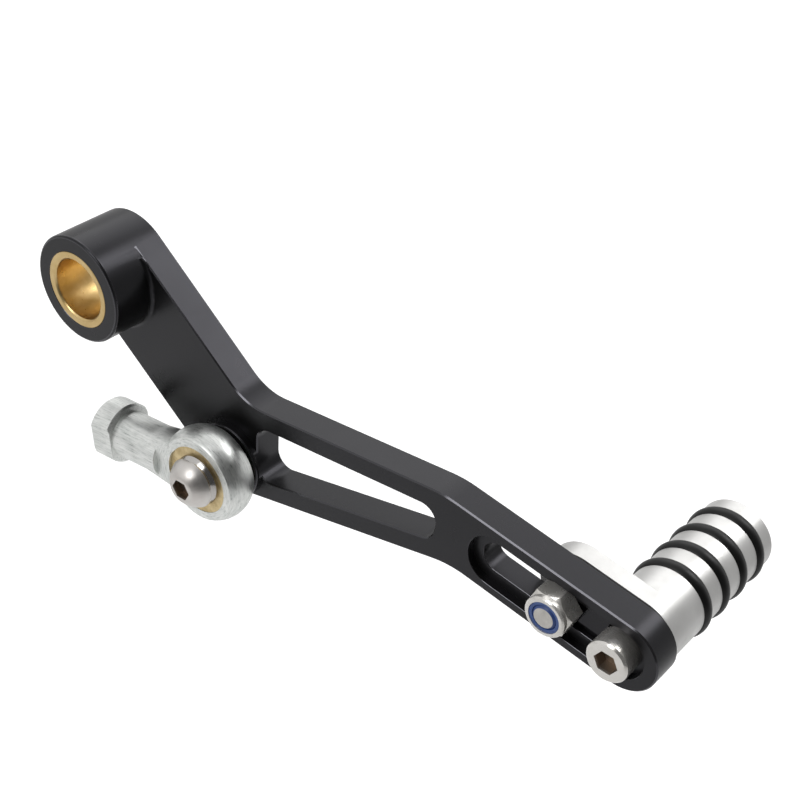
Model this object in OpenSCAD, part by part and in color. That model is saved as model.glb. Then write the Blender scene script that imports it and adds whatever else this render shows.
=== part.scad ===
// Motorcycle gear shift lever with a slotted arm, a sliding toe peg and a rod end.
// X runs from the pivot to the toe peg, Z is up, Y points away from the engine.
// The origin is on the pivot bore axis, in the engine side face of the arm plate.

/* [Arm] */
// distance from the pivot axis to the toe peg axis
peg_reach = 150.8; // [146:0.1:181]
// thickness of the arm plate
arm_t = 7.8; // [7:0.1:9]
// radius of the pivot hub and of the arm's round end
hub_r = 13.7; // [12.4:0.1:15]
// how far the hub stands out towards the engine
hub_out = 11.2; // [7:0.1:14]
// fillet where the hub meets the plate
hub_fillet = 1; // [0.5:0.1:1.5]
// slope of the top edge from the hub to the first bend
top_slope_1 = -27.8; // [-30:0.1:-25.4]
// slope of the top edge between the bends
top_slope_2 = 16; // [14.4:0.1:17.4]
// slope of the bottom edge between the bends
low_slope_2 = 23.3; // [22:0.1:24.4]
// slope of the outer section
slope_3 = 2; // [0.4:0.1:3.6]
// half the width of the outer section
tip_r = 8.8; // [8.3:0.05:10]
// how far the round end is centred beyond the peg
tip_past = 1; // [0.5:0.1:2]
// radius inside the first bend
bend_1_r = 14; // [10:0.5:20]
// radius of the second bend, top and bottom
bend_2_r = 24; // [16:0.5:32]

/* [Rod end boss] */
// pivot to rod end axis, along X
boss_x = 45.3; // [43.6:0.1:46.8]
// pivot to rod end axis, along Z
boss_z = -27.4; // [-28.6:0.1:-26.6]
// radius of the boss
boss_r = 9.9; // [9.6:0.1:10.6]
// height of the boss above the plate
boss_h = 2.2; // [1.6:0.1:3]
// distance from the boss axis to the top edge of the middle section
spine = 17.4; // [16.4:0.1:18.6]
// distance from the boss axis to the bottom edge of the middle section
keel = 9.4; // [8.6:0.1:9.5]

/* [Window] */
// wall left beside the window
win_wall = 5.1; // [4.2:0.1:5.8]
// corner radius of the window
win_r = 3.9; // [2.8:0.1:4.2]
// lean of the window's near end, in degrees from upright
win_lean = 10; // [0:1:15]
// distance from the boss axis to the window's near end
win_gap = 6.8; // [6.6:0.1:9]
// how far the window's far end lies beyond the second bend's corner
win_end = 0.3; // [-6:0.1:2]

/* [Slot] */
// length between the end centres of the slot
slot_len = 32.4; // [29.6:0.1:34.6]
// width of the through slot
slot_w = 7.4; // [7:0.1:8]
// width of the counterbore
cbore_w = 13; // [12:0.1:14]
// depth of the counterbore
cbore_d = 2; // [1:0.1:3]

/* [Pivot bush] */
// bore of the bush
bush_bore = 15.4; // [13:0.1:16.6]
// outside diameter of the bush
bush_d = 19.4; // [18:0.1:20.8]
// chamfer at both ends of the bore
bush_chamfer = 0.5; // [0.2:0.1:0.8]

/* [Toe peg] */
// diameter of the peg and width of its base
peg_d = 17.9; // [16.6:0.1:19.6]
// length from the arm's outer face to the free end
peg_len = 42.6; // [41:0.1:53]
// thickness of the base behind the arm
base_t = 4.6; // [3:0.1:6]
// distance between the screw and the lock nut
bolt_pitch = 15.8; // [14:0.1:17.4]
// distance from the arm's outer face to the first ring
ring_first = 13.8; // [12.6:0.1:15.4]
// distance between neighbouring rings
ring_pitch = 7.6; // [6.6:0.05:8.3]
// section diameter of the rubber rings
ring_d = 4.2; // [3.4:0.1:4.9]
// how far the rings stand out of the peg
ring_out = 0.7; // [0.4:0.1:1.2]
// chamfer round the peg's free end
peg_chamfer = 0.8; // [0.3:0.1:1.5]
// depth of the slot filling key below the counterbore floor
key_deep = 1.1; // [0.6:0.1:2]

/* [Rod end] */
// outside diameter of the head
eye_d = 24.4; // [23:0.1:26]
// width of the head between its flat faces
eye_w = 8.2; // [7.6:0.05:8.8]
// width of the ball
ball_w = 11.6; // [10.8:0.1:12.4]
// diameter of the ball
ball_d = 15; // [14:0.1:15.6]
// outside diameter of the bronze race
race_d = 17.6; // [16.6:0.1:19]
// distance from the ball to the threaded end
rod_len = 34.4; // [32:0.2:42]
// diameter of the shank
shank_d = 12; // [11:0.1:12.4]
// diameter of the collar
collar_d = 15.4; // [14.2:0.1:16]
// length of the collar
collar_len = 6.6; // [5:0.1:9]
// width across the spanner flats of the collar
flats_w = 12.8; // [11.6:0.1:13.6]
// direction the shank points, in degrees from X
rod_angle = 196.5; // [194:0.5:230]

/* [Hidden] */
$fn = 96;

// working gaps
slide_gap = 0.02;
fit_gap = 0.05;
ball_gap = 0.03;
eps = 0.01;
// rounds overlap the straight edges that they touch by this much, so that they cross cleanly
tuck = 0.0005;

// size 6 fastener values
m6_r = 3;
rod_bore_r = 3.4;
rod_bore_len = 17;
cap_r = 5;
cap_h = 6;
cap_af = 5;
button_r = 6.4;
button_h = 3.6;
button_af = 4.7;
nut_af = 10;
nut_h = 6;
nut_hex_h = 4.6;
lip_r = 3.85;
nut_step = 0.05;
nut_round = 0.4;
socket_deep = 3.2;
button_deep = 2.1;
screw_bite = 11;

// rod end's neck between eye and shank
neck_in = 13;
neck_len = 17;
neck_flare = 2;
neck_step = 0.6;

// key points of the arm in the XZ plane
hub_c = [0, 0];
boss_c = [boss_x, boss_z];
peg_c = [peg_reach, 0];
tip_c = peg_c + tip_past * along(slope_3);
lobe_c = peg_c - bolt_pitch * along(slope_3);
slot_in_c = peg_c - slot_len * along(slope_3);
low_slope_1 = atan2(boss_z, boss_x) + asin((hub_r - boss_r) / norm(boss_c));
top_1 = hub_c + (hub_r - tuck) * left_of(top_slope_1);
top_2 = boss_c + spine * left_of(top_slope_2);
top_3 = peg_c + (tip_r - tuck) * left_of(slope_3);
low_1 = hub_c - (hub_r - tuck) * left_of(low_slope_1);
low_1b = boss_c - (boss_r - tuck) * left_of(low_slope_1);
low_2 = boss_c - keel * left_of(low_slope_2);
low_3 = peg_c - (tip_r - tuck) * left_of(slope_3);
bend_1 = meet(top_1, top_slope_1, top_2, top_slope_2);
bend_2 = meet(top_2, top_slope_2, top_3, slope_3);
bend_3 = meet(low_2, low_slope_2, low_3, slope_3);
win_left = boss_x + win_gap;
win_right = bend_2[0] + win_end;

// positions along Y
eye_y = -boss_h - ball_w / 2;
base_y = arm_t + slide_gap;
seat_y = cbore_d - slide_gap;
peg_end = arm_t + peg_len;
key_y = cbore_d + key_deep;
rim_in = 1.3;
rim_r = (pow(eye_w / 2, 2) + pow(rim_in, 2)) / (2 * rim_in);

// unit vector at an angle, and the one to its left
function along(a) = [cos(a), sin(a)];
function left_of(a) = [-sin(a), cos(a)];

// crossing of a line through p at angle a and a line through q at angle b
function meet(p, a, q, b) =
  p + ((q[0] - p[0]) * sin(b) - (q[1] - p[1]) * cos(b)) / sin(b - a) * along(a);

// draws a flat XZ shape from y0 to y1
module plate(y0, y1) {
  translate([0, y1, 0])
    rotate([90, 0, 0])
      linear_extrude(y1 - y0)
        children();
}

// round bar along Y at a point of the XZ plane
module bar(c, r, y0, y1) {
  translate([c[0], y1, c[1]])
    rotate([90, 0, 0])
      cylinder(r = r, h = y1 - y0);
}

// cone along Y, radius ra at y0 and rb at y1
module taper(c, ra, rb, y0, y1) {
  translate([c[0], y1, c[1]])
    rotate([90, 0, 0])
      cylinder(r1 = rb, r2 = ra, h = y1 - y0);
}

// six sided bar along Y
module hex_bar(c, af, y0, y1, turn) {
  translate([c[0], y1, c[1]])
    rotate([90, 0, 0])
      rotate([0, 0, turn])
        cylinder(r = af / sqrt(3), h = y1 - y0, $fn = 6);
}

// flat oblong between two points
module oblong(p, q, r) {
  side = (r - tuck) * left_of(atan2(q[1] - p[1], q[0] - p[0]));
  union() {
    translate(p)
      circle(r);
    translate(q)
      circle(r);
    polygon([p + side, p - side, q - side, q + side]);
  }
}

// the area between a corner and the arc that rounds it, side is 1 for a left turn
module corner(p, a, b, r, side) {
  t = r * tan(abs(b - a) / 2);
  m = (a + b) / 2;
  difference() {
    polygon([p - t * along(a), p - side * 0.6 * left_of(m), p + t * along(b)]);
    translate(p - t * along(a) + side * r * left_of(a))
      circle(r + tuck);
  }
}

// outline of the arm without its bends rounded
module arm_raw() {
  union() {
    circle(hub_r);
    translate(boss_c)
      circle(boss_r);
    translate(tip_c)
      circle(tip_r);
    polygon([hub_c, top_1, bend_1, bend_2, top_3 + tip_c - peg_c, low_3 + tip_c - peg_c,
      bend_3, low_2, boss_c, low_1b, low_1]);
  }
}

module arm_outline() {
  difference() {
    union() {
      arm_raw();
      corner(bend_1, top_slope_1, top_slope_2, bend_1_r, 1);
      corner(bend_3, low_slope_2, slope_3, bend_2_r, -1);
    }
    corner(bend_2, top_slope_2, slope_3, bend_2_r, -1);
  }
}

// window with four round corners
module window_shape() {
  in = win_wall + win_r;
  near = 90 + win_lean;
  up = (win_r - tuck) * left_of(top_slope_2);
  down = (win_r - tuck) * left_of(low_slope_2);
  side = (win_r - tuck) * left_of(near);
  near_p = [win_left, boss_z + 8] - win_r * left_of(near);
  tl = meet(top_2 - in * left_of(top_slope_2), top_slope_2, near_p, near);
  tr = meet(top_2 - in * left_of(top_slope_2), top_slope_2, [win_right - win_r, 0], 90);
  bl = meet(low_2 + in * left_of(low_slope_2), low_slope_2, near_p, near);
  br = meet(low_2 + in * left_of(low_slope_2), low_slope_2, [win_right - win_r, 0], 90);
  union() {
    polygon([tl + up, tl + side, bl + side, bl - down, br - down, br + [win_r - tuck, 0],
      tr + [win_r - tuck, 0], tr + up]);
    translate(tl)
      circle(win_r);
    translate(tr)
      circle(win_r);
    translate(bl)
      circle(win_r);
    translate(br)
      circle(win_r);
  }
}

// fillet ring round the hub, kept inside the arm's outline and clear of its tangent edges
module hub_fillet_ring() {
  start = top_slope_1 + 90 - 12;
  stop = low_slope_1 - 90 + 12;
  far = 2 * hub_r;
  intersection() {
    rotate([90, 0, 0])
      rotate_extrude()
        difference() {
          translate([hub_r - 1, 0])
            square([1 + hub_fillet, hub_fillet]);
          translate([hub_r + hub_fillet, hub_fillet])
            circle(hub_fillet);
        }
    plate(-hub_fillet, 0)
      intersection() {
        arm_outline();
        polygon([hub_c, far * along(start), far * along((start + stop) / 2), far * along(stop)]);
      }
  }
}

module lever_arm() {
  color([0.06, 0.06, 0.07])
    difference() {
      union() {
        plate(0, arm_t)
          arm_outline();
        bar(hub_c, hub_r, 0.5 - hub_out, 0);
        taper(hub_c, hub_r - 0.5, hub_r, -hub_out, 0.5 - hub_out);
        hub_fillet_ring();
        bar(boss_c, boss_r, 0.4 - boss_h, 0);
        taper(boss_c, boss_r - 0.4, boss_r, -boss_h, 0.4 - boss_h);
      }
      bar(hub_c, bush_d / 2, -hub_out - 1, arm_t + 1);
      bar(boss_c, m6_r + fit_gap, -boss_h - 1, arm_t + 1);
      plate(-1, arm_t + 1)
        window_shape();
      plate(-1, arm_t + 1)
        oblong(slot_in_c, peg_c, slot_w / 2);
      plate(-1, cbore_d)
        oblong(slot_in_c, peg_c, cbore_w / 2);
    }
}

module pivot_bush() {
  color([0.79, 0.65, 0.38])
    difference() {
      bar(hub_c, bush_d / 2, -hub_out, arm_t);
      bar(hub_c, bush_bore / 2, -hub_out - 1, arm_t + 1);
      taper(hub_c, bush_bore / 2 + bush_chamfer, bush_bore / 2, -hub_out, bush_chamfer - hub_out);
      taper(hub_c, bush_bore / 2, bush_bore / 2 + bush_chamfer, arm_t - bush_chamfer, arm_t);
    }
}

// button head screw that holds the rod end's ball on the boss
module rod_screw() {
  head_y = -boss_h - ball_w;
  flat_r = 3.4;
  drop = (pow(button_r, 2) - pow(flat_r, 2) - pow(button_h, 2)) / (2 * button_h);
  color([0.72, 0.72, 0.72])
    difference() {
      union() {
        bar(boss_c, m6_r, head_y - 0.5, arm_t - 1);
        translate([boss_x, head_y, boss_z])
          rotate([90, 0, 0])
            rotate_extrude()
              intersection() {
                translate([0, -drop])
                  circle(norm([button_r, drop]));
                square([button_r, button_h]);
              }
      }
      hex_bar(boss_c, button_af, head_y - button_h - 1, head_y - button_h + button_deep, 12);
    }
}

module rod_ball() {
  color([0.75, 0.75, 0.76])
    translate([boss_x, eye_y, boss_z])
      rotate([90, 0, 0])
        rotate_extrude()
          difference() {
            intersection() {
              circle(ball_d / 2);
              translate([0, -ball_w / 2])
                square([ball_d, ball_w]);
            }
            translate([0, -ball_d])
              square([m6_r + fit_gap, 2 * ball_d]);
          }
}

module rod_race() {
  half = eye_w / 2 - 0.1;
  color([0.72, 0.6, 0.36])
    translate([boss_x, eye_y, boss_z])
      rotate([90, 0, 0])
        rotate_extrude()
          difference() {
            translate([0, -half])
              square([race_d / 2, 2 * half]);
            circle(ball_d / 2 + ball_gap);
          }
}

module rod_housing() {
  color([0.78, 0.79, 0.77])
    translate([boss_x, eye_y, boss_z])
      rotate([0, -rod_angle, 0])
        difference() {
          union() {
            rotate([90, 0, 0])
              rotate_extrude()
                union() {
                  translate([0, -eye_w / 2])
                    square([eye_d / 2 - rim_r, eye_w]);
                  intersection() {
                    translate([eye_d / 2 - rim_r, 0])
                      circle(rim_r);
                    translate([0, -eye_w / 2])
                      square([eye_d, eye_w]);
                  }
                }
            intersection() {
              rotate([0, 90, 0])
                cylinder(r1 = shank_d / 2 + neck_flare, r2 = shank_d / 2, h = neck_len);
              translate([0, -eye_w / 2 - neck_step, -eye_d])
                cube([neck_len + 1, eye_w + 2 * neck_step, 2 * eye_d]);
            }
            translate([neck_in, 0, 0])
              rotate([0, 90, 0])
                cylinder(r = shank_d / 2, h = rod_len - neck_in - 1);
            intersection() {
              translate([rod_len - collar_len, 0, 0])
                rotate([0, 90, 0])
                  union() {
                    cylinder(r1 = collar_d / 2 - 0.5, r2 = collar_d / 2, h = 0.5);
                    translate([0, 0, 0.5])
                      cylinder(r = collar_d / 2, h = collar_len - 1);
                    translate([0, 0, collar_len - 0.5])
                      cylinder(r1 = collar_d / 2, r2 = collar_d / 2 - 0.5, h = 0.5);
                  }
              translate([0, -flats_w / 2, -collar_d])
                cube([rod_len + 1, flats_w, 2 * collar_d]);
            }
          }
          rotate([90, 0, 0])
            cylinder(r = race_d / 2, h = 2 * eye_w, center = true);
          translate([rod_len - rod_bore_len, 0, 0])
            rotate([0, 90, 0])
              cylinder(r = rod_bore_r, h = rod_bore_len + 1);
        }
}

// radius of the circle through the middle of a ring's section
function ring_c() = peg_d / 2 + ring_out - ring_d / 2;

function ring_y(i) = arm_t + ring_first + i * ring_pitch;

module ring_at(i, r) {
  translate([peg_c[0], ring_y(i), peg_c[1]])
    rotate([90, 0, 0])
      rotate_extrude()
        translate([ring_c(), 0])
          circle(r);
}

module toe_peg() {
  color([0.86, 0.86, 0.85])
    difference() {
      union() {
        plate(base_y, arm_t + base_t)
          oblong(lobe_c, peg_c, peg_d / 2);
        bar(peg_c, peg_d / 2, base_y, peg_end - peg_chamfer);
        taper(peg_c, peg_d / 2, peg_d / 2 - peg_chamfer, peg_end - peg_chamfer, peg_end);
      }
      ring_at(0, ring_d / 2 + slide_gap);
      ring_at(1, ring_d / 2 + slide_gap);
      ring_at(2, ring_d / 2 + slide_gap);
      ring_at(3, ring_d / 2 + slide_gap);
      bar(peg_c, m6_r + fit_gap, arm_t - 1, arm_t + screw_bite + 1);
      bar(lobe_c, m6_r + fit_gap, arm_t - 1, arm_t + base_t + 1);
      taper(lobe_c, m6_r + fit_gap, m6_r + fit_gap + base_t - 1, arm_t + 1, arm_t + base_t);
    }
}

module slot_key() {
  color([0.05, 0.05, 0.06])
    difference() {
      plate(key_y, arm_t + slide_gap)
        oblong(lobe_c, peg_c, slot_w / 2 - 0.1);
      bar(peg_c, m6_r + fit_gap, 0, arm_t + 1);
      bar(lobe_c, m6_r + fit_gap, 0, arm_t + 1);
    }
}

module peg_ring(i) {
  color([0.04, 0.04, 0.04])
    ring_at(i, ring_d / 2);
}

module peg_ring_1() {
  peg_ring(0);
}

module peg_ring_2() {
  peg_ring(1);
}

module peg_ring_3() {
  peg_ring(2);
}

module peg_ring_4() {
  peg_ring(3);
}

module peg_screw() {
  color([0.8, 0.79, 0.76])
    difference() {
      union() {
        taper(peg_c, cap_r - 0.5, cap_r, seat_y - cap_h, seat_y - cap_h + 0.5);
        bar(peg_c, cap_r, seat_y - cap_h + 0.5, seat_y);
        bar(peg_c, m6_r, seat_y - 0.5, arm_t + screw_bite);
      }
      hex_bar(peg_c, cap_af, seat_y - cap_h - 1, seat_y - cap_h + socket_deep, 8);
    }
}

module lock_bolt() {
  color([0.78, 0.77, 0.74])
    union() {
      taper(lobe_c, m6_r - 0.6, m6_r, seat_y - nut_h - 0.1, seat_y - nut_h + 0.5);
      bar(lobe_c, m6_r, seat_y - nut_h + 0.5, arm_t + base_t);
      taper(lobe_c, m6_r, m6_r + base_t - 1, arm_t + 1, arm_t + base_t);
    }
}

module lock_nut() {
  top_y = seat_y - nut_h;
  hex_y = seat_y - nut_hex_h;
  color([0.8, 0.79, 0.77])
    difference() {
      union() {
        intersection() {
          hex_bar(lobe_c, nut_af, hex_y, seat_y, 20);
          taper(lobe_c, nut_af / 2, nut_af / 2 + nut_hex_h, hex_y, seat_y);
        }
        bar(lobe_c, nut_af / 2 - nut_step, top_y + nut_round, hex_y + eps);
        taper(lobe_c, nut_af / 2 - nut_step - nut_round, nut_af / 2 - nut_step, top_y, top_y + nut_round);
      }
      bar(lobe_c, m6_r + fit_gap, top_y - 1, seat_y + 1);
      bar(lobe_c, lip_r, top_y - 1, top_y + 1.6);
    }
}

module nut_insert() {
  top_y = seat_y - nut_h;
  color([0.2, 0.3, 0.6])
    difference() {
      bar(lobe_c, lip_r, top_y + 0.2, top_y + 1.6);
      bar(lobe_c, m6_r, top_y - 1, top_y + 3);
    }
}

lever_arm();
pivot_bush();
rod_screw();
rod_ball();
rod_race();
rod_housing();
toe_peg();
slot_key();
peg_ring_1();
peg_ring_2();
peg_ring_3();
peg_ring_4();
peg_screw();
lock_bolt();
lock_nut();
nut_insert();
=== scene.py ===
"""Looks of a motorcycle gear shift lever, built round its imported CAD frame. Metres, +Z up."""

import math

import bpy
from mathutils import Euler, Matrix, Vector

MM = 0.001

# camera, solved from the photograph's edges and round outlines
CAM_PLACE = Vector((0.20512, -0.20563, 0.23462))
CAM_AIM = Vector((0.08633, 0.0, 0.02265))
CAM_ROLL = math.radians(14.94)
CAM_LENS = 68.32
CAM_SENSOR = 36.0

# studio
FLOOR_Z = -0.30
ROOM = 6.0

# screw axes in X and Z, and the Y of their faces, in millimetres
BOSS = (45.3, -27.4)
PEG = (150.8, 0.0)
LOBE = (135.01, -0.551)
BUTTON_FACE = -17.4
CAP_FACE = -4.0

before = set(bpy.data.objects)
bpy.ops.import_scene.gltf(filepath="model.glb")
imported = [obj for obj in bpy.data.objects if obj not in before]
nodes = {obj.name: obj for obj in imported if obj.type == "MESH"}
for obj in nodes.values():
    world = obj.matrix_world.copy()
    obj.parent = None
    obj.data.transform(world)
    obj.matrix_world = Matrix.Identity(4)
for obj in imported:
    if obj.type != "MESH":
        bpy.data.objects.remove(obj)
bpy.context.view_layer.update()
scene = bpy.context.scene


def new_material(name):
    mat = bpy.data.materials.new(name)
    mat.use_nodes = True
    return mat, mat.node_tree, mat.node_tree.nodes["Principled BSDF"]


def node(tree, kind, **values):
    """A shader or geometry node with its inputs or properties set by name."""
    made = tree.nodes.new(kind)
    for key, value in values.items():
        if key in made.inputs:
            made.inputs[key].default_value = value
        else:
            setattr(made, key, value)
    return made


def noise(tree, coords, scale, detail=4.0, rough=0.6):
    made = node(tree, "ShaderNodeTexNoise", Scale=scale, Detail=detail, Roughness=rough)
    tree.links.new(coords, made.inputs["Vector"])
    return made.outputs["Fac"]


def stretched(tree, scale, spin=(0, 0, 0)):
    """Object coordinates, turned and scaled along each axis."""
    coords = node(tree, "ShaderNodeTexCoord").outputs["Object"]
    turn = node(tree, "ShaderNodeMapping")
    turn.inputs["Rotation"].default_value = spin
    tree.links.new(coords, turn.inputs["Vector"])
    made = node(tree, "ShaderNodeMapping")
    made.inputs["Scale"].default_value = scale
    tree.links.new(turn.outputs["Vector"], made.inputs["Vector"])
    return made.outputs["Vector"]


def ramp(tree, fac, stops):
    made = node(tree, "ShaderNodeValToRGB")
    while len(made.color_ramp.elements) < len(stops):
        made.color_ramp.elements.new(0.5)
    for element, (at, value) in zip(made.color_ramp.elements, stops):
        element.position = at
        element.color = (*value, 1.0) if len(value) == 3 else value
    tree.links.new(fac, made.inputs["Fac"])
    return made.outputs["Color"]


def grey(value):
    return (value, value, value)


def bump(tree, shader, height, strength, distance):
    made = node(tree, "ShaderNodeBump", Strength=strength, Distance=distance)
    tree.links.new(height, made.inputs["Height"])
    tree.links.new(made.outputs["Normal"], shader.inputs["Normal"])
    return made


def mix(tree, fac, low, high):
    """Blends two colours, given as values or sockets, by a factor socket."""
    made = node(tree, "ShaderNodeMix", data_type="RGBA")
    tree.links.new(fac, made.inputs["Factor"])
    for name, value in (("A", low), ("B", high)):
        if isinstance(value, bpy.types.NodeSocket):
            tree.links.new(value, made.inputs[name])
        else:
            made.inputs[name].default_value = (*value, 1.0)
    return made.outputs["Result"]


def inside(tree, centre, radius, deeper_than):
    """1 within a radius of an axis along Y and beyond a depth, 0 elsewhere."""
    split = node(tree, "ShaderNodeSeparateXYZ")
    coords = node(tree, "ShaderNodeTexCoord").outputs["Object"]
    tree.links.new(coords, split.inputs["Vector"])
    flat = node(tree, "ShaderNodeCombineXYZ")
    tree.links.new(split.outputs["X"], flat.inputs["X"])
    tree.links.new(split.outputs["Z"], flat.inputs["Z"])
    away = node(tree, "ShaderNodeVectorMath", operation="DISTANCE")
    tree.links.new(flat.outputs["Vector"], away.inputs[0])
    away.inputs[1].default_value = (centre[0] * MM, 0.0, centre[1] * MM)
    near = node(tree, "ShaderNodeMapRange")
    near.inputs["From Min"].default_value = radius * MM
    near.inputs["From Max"].default_value = (radius + 0.1) * MM
    near.inputs["To Min"].default_value = 1.0
    near.inputs["To Max"].default_value = 0.0
    tree.links.new(away.outputs["Value"], near.inputs["Value"])
    deep = node(tree, "ShaderNodeMapRange")
    deep.inputs["From Min"].default_value = deeper_than * MM
    deep.inputs["From Max"].default_value = (deeper_than + 0.8) * MM
    tree.links.new(split.outputs["Y"], deep.inputs["Value"])
    both = node(tree, "ShaderNodeMath", operation="MULTIPLY")
    tree.links.new(near.outputs["Result"], both.inputs[0])
    tree.links.new(deep.outputs["Result"], both.inputs[1])
    return both.outputs["Value"]


def brushed(tree, centre, reach, turn):
    """A brushed grain that runs round an eye and, further out, along its shank."""
    split = node(tree, "ShaderNodeSeparateXYZ")
    coords = node(tree, "ShaderNodeTexCoord").outputs["Object"]
    tree.links.new(coords, split.inputs["Vector"])
    offset = []
    for axis, value in (("X", centre[0]), ("Z", centre[1])):
        made = node(tree, "ShaderNodeMath", operation="SUBTRACT")
        tree.links.new(split.outputs[axis], made.inputs[0])
        made.inputs[1].default_value = value * MM
        offset.append(made.outputs["Value"])
    angle = node(tree, "ShaderNodeMath", operation="ARCTAN2")
    flat = node(tree, "ShaderNodeCombineXYZ")
    for index, (socket, name) in enumerate(zip(offset, ("X", "Z"))):
        tree.links.new(socket, angle.inputs[index])
        tree.links.new(socket, flat.inputs[name])
    radius = node(tree, "ShaderNodeVectorMath", operation="LENGTH")
    tree.links.new(flat.outputs["Vector"], radius.inputs[0])
    polar = node(tree, "ShaderNodeCombineXYZ")
    tree.links.new(angle.outputs["Value"], polar.inputs["X"])
    tree.links.new(radius.outputs["Value"], polar.inputs["Y"])
    tree.links.new(split.outputs["Y"], polar.inputs["Z"])
    scaled = node(tree, "ShaderNodeMapping")
    scaled.inputs["Scale"].default_value = (5.0, 2600.0, 2600.0)
    tree.links.new(polar.outputs["Vector"], scaled.inputs["Vector"])
    round_eye = noise(tree, scaled.outputs["Vector"], 1.0, 5.0, 0.7)
    along = noise(tree, stretched(tree, (240.0, 2600.0, 2600.0), (0.0, math.radians(turn), 0.0)), 1.0, 5.0, 0.7)
    far = node(tree, "ShaderNodeMapRange")
    far.inputs["From Min"].default_value = reach * MM
    far.inputs["From Max"].default_value = (reach + 1.5) * MM
    tree.links.new(radius.outputs["Value"], far.inputs["Value"])
    both = node(tree, "ShaderNodeMix", data_type="FLOAT")
    tree.links.new(far.outputs["Result"], both.inputs["Factor"])
    tree.links.new(round_eye, both.inputs["A"])
    tree.links.new(along, both.inputs["B"])
    return both.outputs["Result"]


def anodised_black(name, base, rough, specular):
    """Dyed anodised aluminium: a faint grain, a few pale specks and soft sheen."""
    mat, tree, shader = new_material(name)
    shader.inputs["Specular IOR Level"].default_value = specular
    shader.inputs["Specular Tint"].default_value = (0.91, 0.90, 1.0, 1.0)
    coords = stretched(tree, grey(1.0))
    cloud = noise(tree, coords, 60.0, 3.0)
    dust = noise(tree, coords, 1500.0, 2.0)
    tone = ramp(tree, cloud, [(0.3, grey(base)), (0.7, grey(base * 1.4))])
    speck = ramp(tree, dust, [(0.76, grey(0.0)), (0.80, grey(1.0))])
    tree.links.new(mix(tree, speck, tone, grey(0.08)), shader.inputs["Base Color"])
    gloss = ramp(tree, cloud, [(0.3, grey(rough - 0.03)), (0.7, grey(rough + 0.04))])
    tree.links.new(gloss, shader.inputs["Roughness"])
    bump(tree, shader, noise(tree, coords, 900.0, 2.0), 0.12, 0.00004)
    return mat


def metal(name, tones, rough, bare=1.0, mottle=40.0, grain=600.0, streak=None, depth=0.0, shade=None):
    """Bare metal whose tone and gloss wander between two values.

    A streak is the coordinate scale of a fine grain, and a shade is a socket's axis, radius
    and depth. Inside it the metal gets painted shade, a dull dark brown: in the socket's recess,
    and, since the mask runs on through the screw, on its far end too.
    """
    mat, tree, shader = new_material(name)
    shader.inputs["Metallic"].default_value = bare
    coords = stretched(tree, grey(1.0))
    tone = ramp(tree, noise(tree, coords, mottle, 5.0), [(0.35, tones[0]), (0.65, tones[1])])
    fine = noise(tree, coords, grain, 3.0)
    gloss = ramp(tree, fine, [(0.3, grey(rough[0])), (0.7, grey(rough[1]))])
    if streak:
        bump(tree, shader, noise(tree, stretched(tree, streak), 1.0, 4.0, 0.6), 0.7, depth)
    else:
        bump(tree, shader, fine, 0.1, 0.00003)
    # painted shade: inside the socket the tone turns a dull dark brown and the gloss is dulled, standing in for the
    # recess's shade
    if shade:
        socket_painted_shade = inside(tree, *shade)
        tone = mix(tree, socket_painted_shade, tone, (0.30, 0.24, 0.19))
        gloss = mix(tree, socket_painted_shade, gloss, grey(0.4))
    tree.links.new(tone, shader.inputs["Base Color"])
    tree.links.new(gloss, shader.inputs["Roughness"])
    return mat


def zinc(name):
    """Bright zinc plate over a brushed eye and shank, with handling scratches."""
    mat, tree, shader = new_material(name)
    shader.inputs["Metallic"].default_value = 0.95
    grain = brushed(tree, BOSS, 12.6, 196.5)
    cloud = noise(tree, stretched(tree, grey(1.0)), 170.0, 5.0)
    plate = ramp(tree, cloud, [(0.32, (0.74, 0.76, 0.74)), (0.62, (0.93, 0.94, 0.92))])
    lines = ramp(tree, grain, [(0.28, (0.25, 0.26, 0.26)), (0.42, (0.80, 0.81, 0.80)), (0.62, (1.0, 1.0, 1.0))])
    tone = node(tree, "ShaderNodeMix", data_type="RGBA", blend_type="MULTIPLY")
    tone.inputs["Factor"].default_value = 0.9
    tree.links.new(plate, tone.inputs["A"])
    tree.links.new(lines, tone.inputs["B"])
    tree.links.new(tone.outputs["Result"], shader.inputs["Base Color"])
    tree.links.new(ramp(tree, cloud, [(0.3, grey(0.30)), (0.7, grey(0.46))]), shader.inputs["Roughness"])
    bump(tree, shader, grain, 0.7, 0.00004)
    return mat


def bolt_end(name):
    """Steel whose end chamfer is coated by the nut's nylon."""
    mat, tree, shader = new_material(name)
    core = node(tree, "ShaderNodeMath", operation="MAXIMUM")
    tree.links.new(inside(tree, LOBE, 2.35, -20.0), core.inputs[0])
    tree.links.new(inside(tree, LOBE, 12.0, 0.0), core.inputs[1])
    core = core.outputs["Value"]
    cloud = noise(tree, stretched(tree, grey(1.0)), 700.0, 4.0)
    steel = ramp(tree, cloud, [(0.3, (0.46, 0.44, 0.41)), (0.7, (0.62, 0.60, 0.57))])
    tree.links.new(mix(tree, core, (0.035, 0.075, 0.25), steel), shader.inputs["Base Color"])
    tree.links.new(core, shader.inputs["Metallic"])
    tree.links.new(ramp(tree, cloud, [(0.3, grey(0.36)), (0.7, grey(0.5))]), shader.inputs["Roughness"])
    return mat


def rubber(name):
    mat, tree, shader = new_material(name)
    shader.inputs["Specular IOR Level"].default_value = 0.3
    coords = stretched(tree, grey(1.0))
    cloud = noise(tree, coords, 90.0)
    tree.links.new(ramp(tree, cloud, [(0.3, grey(0.004)), (0.7, grey(0.009))]), shader.inputs["Base Color"])
    tree.links.new(ramp(tree, cloud, [(0.3, grey(0.32)), (0.7, grey(0.45))]), shader.inputs["Roughness"])
    bump(tree, shader, noise(tree, coords, 1800.0), 0.15, 0.00004)
    return mat


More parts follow.
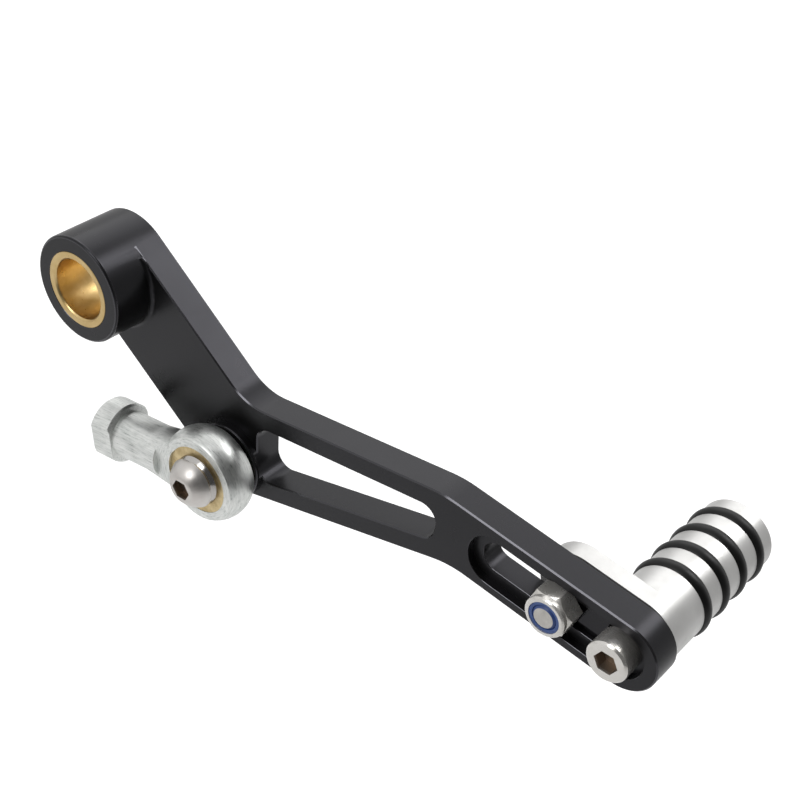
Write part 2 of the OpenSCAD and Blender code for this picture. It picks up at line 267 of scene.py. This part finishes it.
def nylon(name):
    mat, tree, shader = new_material(name)
    cloud = noise(tree, stretched(tree, grey(1.0)), 300.0)
    tone = ramp(tree, cloud, [(0.3, (0.03, 0.07, 0.24)), (0.7, (0.06, 0.12, 0.34))])
    tree.links.new(tone, shader.inputs["Base Color"])
    shader.inputs["Roughness"].default_value = 0.4
    return mat


BLACK = anodised_black("anodised black", 0.005, 0.29, 0.34)
EDGE = anodised_black("anodised edge", 0.012, 0.18, 0.85)
KEY_BLACK = anodised_black("key black", 0.003, 0.12, 0.3)
BRONZE = metal("bearing bronze", [(0.58, 0.41, 0.17), (0.72, 0.54, 0.27)], (0.26, 0.40), mottle=160.0)
RACE = metal("race bronze", [(0.50, 0.38, 0.19), (0.76, 0.62, 0.36)], (0.30, 0.45), mottle=420.0)
ZINC = zinc("zinc plate")
BOLT = bolt_end("bolt end")
STEEL = metal("bolt steel", [(0.70, 0.68, 0.64), (0.82, 0.80, 0.77)], (0.20, 0.30), bare=0.65, mottle=120.0)
# the button and cap screws carry painted shade, a dull dark brown, inside their sockets
BUTTON = metal("button steel", [(0.62, 0.59, 0.56), (0.74, 0.72, 0.70)], (0.34, 0.44), mottle=90.0,
               shade=(BOSS, 2.75, BUTTON_FACE))
CAP = metal("cap steel", [(0.68, 0.66, 0.62), (0.80, 0.78, 0.75)], (0.16, 0.26), bare=0.75, mottle=90.0,
            shade=(PEG, 2.95, CAP_FACE))
CHROME = metal("ball chrome", [(0.50, 0.48, 0.46), (0.60, 0.58, 0.56)], (0.14, 0.22), mottle=60.0)
CLEAR = metal("clear anodised", [(0.56, 0.556, 0.545), (0.64, 0.636, 0.625)], (0.34, 0.44), bare=0.9, mottle=80.0,
              streak=(200.0, 5000.0, 200.0), depth=0.000006)
RUBBER = rubber("ring rubber")
NYLON = nylon("blue nylon")


def weld_group():
    """Geometry nodes that drop the imported normals and join the faces' shared corners."""
    tree = bpy.data.node_groups.new("weld", "GeometryNodeTree")
    tree.interface.new_socket("Geometry", in_out="INPUT", socket_type="NodeSocketGeometry")
    tree.interface.new_socket("Geometry", in_out="OUTPUT", socket_type="NodeSocketGeometry")
    start, end = node(tree, "NodeGroupInput"), node(tree, "NodeGroupOutput")
    drop = node(tree, "GeometryNodeRemoveAttribute", Name="custom_normal")
    merge = node(tree, "GeometryNodeMergeByDistance", Distance=1e-6)
    for a, b in ((start, drop), (drop, merge), (merge, end)):
        tree.links.new(a.outputs[0], b.inputs[0])
    return tree


def edge_group(degrees):
    """Geometry nodes that weigh the arm's sharp outer edges for the bevel.

    The outline and the window have the full chamfer, the hub and boss rims half, the slot a small one.
    """
    tree = bpy.data.node_groups.new("edge weights", "GeometryNodeTree")
    tree.interface.new_socket("Geometry", in_out="INPUT", socket_type="NodeSocketGeometry")
    tree.interface.new_socket("Geometry", in_out="OUTPUT", socket_type="NodeSocketGeometry")
    start, end = node(tree, "NodeGroupInput"), node(tree, "NodeGroupOutput")

    def compute(operation, first, second):
        made = node(tree, "ShaderNodeMath", operation=operation)
        for index, value in enumerate((first, second)):
            if isinstance(value, float):
                made.inputs[index].default_value = value
            else:
                tree.links.new(value, made.inputs[index])
        return made.outputs["Value"]

    angle = node(tree, "GeometryNodeInputMeshEdgeAngle").outputs["Signed Angle"]
    sharp = compute("GREATER_THAN", angle, math.radians(degrees))
    split = node(tree, "ShaderNodeSeparateXYZ")
    tree.links.new(node(tree, "GeometryNodeInputPosition").outputs["Position"], split.inputs["Vector"])
    x, y, z = (split.outputs[axis] for axis in "XYZ")
    plate = compute("GREATER_THAN", y, -MM)
    along = compute("SUBTRACT", x, compute("MINIMUM", compute("MAXIMUM", x, 118.4 * MM), PEG[0] * MM))
    across = compute("ADD", z, 0.55 * MM)
    far = compute("SQRT", compute("ADD", compute("MULTIPLY", along, along), compute("MULTIPLY", across, across)), 0.0)
    outside = compute("GREATER_THAN", far, 7.5 * MM)
    size = compute("ADD", compute("MULTIPLY", outside, 0.75), 0.25)
    size = compute("MULTIPLY", size, compute("ADD", compute("MULTIPLY", plate, 0.5), 0.5))
    weight = compute("MULTIPLY", sharp, size)
    store = node(tree, "GeometryNodeStoreNamedAttribute", data_type="FLOAT", domain="EDGE")
    store.inputs["Name"].default_value = "bevel_weight_edge"
    tree.links.new(weight, store.inputs["Value"])
    for a, b in ((start, store), (store, end)):
        tree.links.new(a.outputs[0], b.inputs[0])
    return tree


def smooth_group(degrees):
    """Geometry nodes that shade smooth, apart from edges sharper than an angle."""
    tree = bpy.data.node_groups.new("smooth", "GeometryNodeTree")
    tree.interface.new_socket("Geometry", in_out="INPUT", socket_type="NodeSocketGeometry")
    tree.interface.new_socket("Geometry", in_out="OUTPUT", socket_type="NodeSocketGeometry")
    start, end = node(tree, "NodeGroupInput"), node(tree, "NodeGroupOutput")
    faces = node(tree, "GeometryNodeSetShadeSmooth", domain="FACE")
    edges = node(tree, "GeometryNodeSetShadeSmooth", domain="EDGE")
    angle = node(tree, "GeometryNodeInputMeshEdgeAngle")
    sharp = node(tree, "FunctionNodeCompare", operation="GREATER_THAN")
    sharp.inputs["B"].default_value = math.radians(degrees)
    tree.links.new(angle.outputs["Unsigned Angle"], sharp.inputs["A"])
    faces.inputs["Shade Smooth"].default_value = True
    edges.inputs["Shade Smooth"].default_value = False
    tree.links.new(sharp.outputs["Result"], edges.inputs["Selection"])
    for a, b in ((start, faces), (faces, edges), (edges, end)):
        tree.links.new(a.outputs[0], b.inputs[0])
    return tree


WELD = weld_group()
SMOOTH = smooth_group(32.0)
ARM_EDGES = edge_group(35.0)


def dress(name, materials, width, segments=2, angle=35.0, marked=None):
    """Gives a CAD node its materials, broken edges and clean normals."""
    piece = nodes[name]
    piece.data.materials.clear()
    for mat in materials:
        piece.data.materials.append(mat)
    weld = piece.modifiers.new("weld", "NODES")
    weld.node_group = WELD
    if marked:
        flat = piece.modifiers.new("flat faces", "DECIMATE")
        flat.decimate_type = "DISSOLVE"
        flat.angle_limit = math.radians(0.3)
        piece.modifiers.new("marks", "NODES").node_group = marked
    if width:
        edge = piece.modifiers.new("edges", "BEVEL")
        edge.width = width * MM
        edge.segments = segments
        edge.limit_method = "WEIGHT" if marked else "ANGLE"
        edge.angle_limit = math.radians(angle)
        edge.use_clamp_overlap = not marked
        edge.miter_outer = "MITER_ARC"
        if len(materials) > 1:
            edge.material = 1
    smooth = piece.modifiers.new("smooth", "NODES")
    smooth.node_group = SMOOTH
    level = piece.modifiers.new("level", "WEIGHTED_NORMAL")
    level.keep_sharp = True
    level.weight = 100
    return piece


dress("lever_arm", [BLACK, EDGE], 0.32, 1, marked=ARM_EDGES)
dress("pivot_bush", [BRONZE], 0.15)
dress("rod_screw", [BUTTON], 0.12)
dress("rod_ball", [CHROME], 0.1)
dress("rod_race", [RACE], 0.08)
dress("rod_housing", [ZINC], 0.3, 3)
dress("toe_peg", [CLEAR], 0.2)
dress("slot_key", [KEY_BLACK], 0.15)
for number in range(1, 5):
    dress(f"peg_ring_{number}", [RUBBER], 0.0)
dress("peg_screw", [CAP], 0.2)
dress("lock_bolt", [BOLT], 0.12)
dress("lock_nut", [STEEL], 0.12)
dress("nut_insert", [NYLON], 0.1)


def light(name, place, aim, size, power, color=(1.0, 1.0, 1.0)):
    data = bpy.data.lights.new(name, "AREA")
    data.shape = "RECTANGLE"
    data.size, data.size_y = size
    data.energy = power
    data.color = color
    made = bpy.data.objects.new(name, data)
    made.location = place
    made.rotation_euler = (Vector(aim) - Vector(place)).to_track_quat("-Z", "Y").to_euler()
    scene.collection.objects.link(made)
    return made


def seen_rays(tree):
    """Sockets that are 1 for what the camera sees, also through glass, and for reflections."""
    path = node(tree, "ShaderNodeLightPath")
    seen = node(tree, "ShaderNodeMath", operation="MAXIMUM")
    tree.links.new(path.outputs["Is Camera Ray"], seen.inputs[0])
    tree.links.new(path.outputs["Is Transmission Ray"], seen.inputs[1])
    return seen.outputs["Value"], path.outputs["Is Glossy Ray"]


CENTRE = Vector((0.08, 0.01, -0.005))
light("key", CENTRE + Vector((-0.20, -0.62, 0.57)), CENTRE, (0.34, 0.34), 1.7)
light("right box", CENTRE + Vector((0.17, 0.56, 0.68)), CENTRE, (0.34, 0.5), 2.4)
light("left box", CENTRE + Vector((-0.48, 0.62, 0.56)), CENTRE, (0.9, 0.6), 2.0)

world = bpy.data.worlds.new("studio")
scene.world = world
world.use_nodes = True
tree = world.node_tree
back = tree.nodes["Background"]
back.inputs["Color"].default_value = (1.0, 1.0, 1.0, 1.0)
background = seen_rays(tree)[0]
# the room behind the camera's right side is darker, which metal shows as its dark bands
way = node(tree, "ShaderNodeTexCoord").outputs["Generated"]
across = node(tree, "ShaderNodeVectorMath", operation="DOT_PRODUCT")
across.inputs[1].default_value = (0.80, -0.45, 0.40)
tree.links.new(way, across.inputs[0])
dusk = node(tree, "ShaderNodeMapRange")
dusk.inputs["From Min"].default_value = 0.15
dusk.inputs["From Max"].default_value = 0.7
dusk.inputs["To Min"].default_value = 0.78
dusk.inputs["To Max"].default_value = 0.08
tree.links.new(across.outputs["Value"], dusk.inputs["Value"])
white = node(tree, "ShaderNodeMix", data_type="FLOAT")
white.inputs["B"].default_value = 1.0
tree.links.new(dusk.outputs["Result"], white.inputs["A"])
tree.links.new(background, white.inputs["Factor"])
tree.links.new(white.outputs["Result"], back.inputs["Strength"])

bpy.ops.mesh.primitive_plane_add(size=ROOM, location=(0.08, 0.0, FLOOR_Z))
floor = bpy.context.object
floor.name = "floor"
floor_mat, tree, shader = new_material("floor")
shader.inputs["Base Color"].default_value = (0.8, 0.8, 0.8, 1.0)
shader.inputs["Roughness"].default_value = 1.0
shader.inputs["Specular IOR Level"].default_value = 0.0
background, glossy = seen_rays(tree)
faint = node(tree, "ShaderNodeMath", operation="MULTIPLY")
tree.links.new(glossy, faint.inputs[0])
faint.inputs[1].default_value = 0.3
both = node(tree, "ShaderNodeMath", operation="MAXIMUM")
tree.links.new(background, both.inputs[0])
tree.links.new(faint.outputs["Value"], both.inputs[1])
tree.links.new(both.outputs["Value"], shader.inputs["Emission Strength"])
shader.inputs["Emission Color"].default_value = (0.5, 0.5, 0.5, 1.0)
floor.data.materials.append(floor_mat)

camera_data = bpy.data.cameras.new("camera")
camera_data.lens = CAM_LENS
camera_data.sensor_width = CAM_SENSOR
camera_data.clip_start = 0.01
camera = bpy.data.objects.new("camera", camera_data)
scene.collection.objects.link(camera)
camera.rotation_mode = "QUATERNION"
camera.location = CAM_PLACE
look = (CAM_AIM - CAM_PLACE).to_track_quat("-Z", "Y")
camera.rotation_quaternion = look @ Euler((0.0, 0.0, CAM_ROLL)).to_quaternion()
scene.camera = camera

scene.view_settings.view_transform = "Standard"
